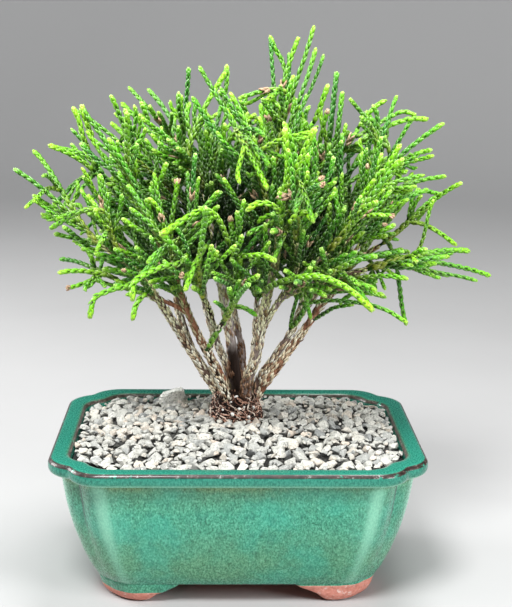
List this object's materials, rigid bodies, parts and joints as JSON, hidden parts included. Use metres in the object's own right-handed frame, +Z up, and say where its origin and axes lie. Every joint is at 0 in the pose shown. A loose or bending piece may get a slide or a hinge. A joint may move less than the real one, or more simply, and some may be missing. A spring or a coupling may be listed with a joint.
{
  "type": "bonsai tree in a pot",
  "caption": "Multi-stemmed whipcord cedar with arching cords of scale leaves, in a rectangular green glazed pot with a flared lip, corner feet and grey gravel.",
  "frame": {"origin": "under the middle of the whole object, on the surface that the feet stand on", "axes": "+Z up, +X along the pot to the right as seen from the front, +Y to the back"},
  "size_m": [0.279, 0.1962, 0.327],
  "materials": {
    "glaze": "glossy mottled green glaze, brown at the edges, bare clay under the feet",
    "screen": "matt black plastic mesh",
    "soil": "dark crumbly soil",
    "gravel": "rough broken grey and buff stone",
    "bark": "flaking brown bark under dried scale leaves",
    "foliage": "satin green scale leaves, brighter at the tips"
  },
  "bodies": {
    "root": {"pot": "glaze", "drain_screen_left": "screen", "drain_screen_right": "screen", "soil": "soil", "gravel": "gravel", "wood": "bark", "spray_01": "foliage", "spray_02": "foliage", "spray_03": "foliage", "spray_04": "foliage", "spray_05": "foliage", "spray_06": "foliage", "spray_07": "foliage", "spray_08": "foliage", "spray_09": "foliage", "spray_10": "foliage", "spray_11": "foliage", "spray_12": "foliage", "spray_13": "foliage", "spray_14": "foliage", "spray_15": "foliage", "spray_16": "foliage", "spray_17": "foliage", "spray_18": "foliage", "spray_19": "foliage", "spray_20": "foliage", "spray_21": "foliage", "spray_22": "foliage", "spray_23": "foliage", "spray_24": "foliage", "spray_25": "foliage", "spray_26": "foliage", "spray_27": "foliage", "spray_28": "foliage", "spray_29": "foliage", "spray_30": "foliage", "spray_31": "foliage", "spray_32": "foliage", "spray_33": "foliage", "spray_34": "foliage", "spray_35": "foliage", "spray_36": "foliage", "spray_37": "foliage", "spray_38": "foliage"}
  },
  "joints": []
}
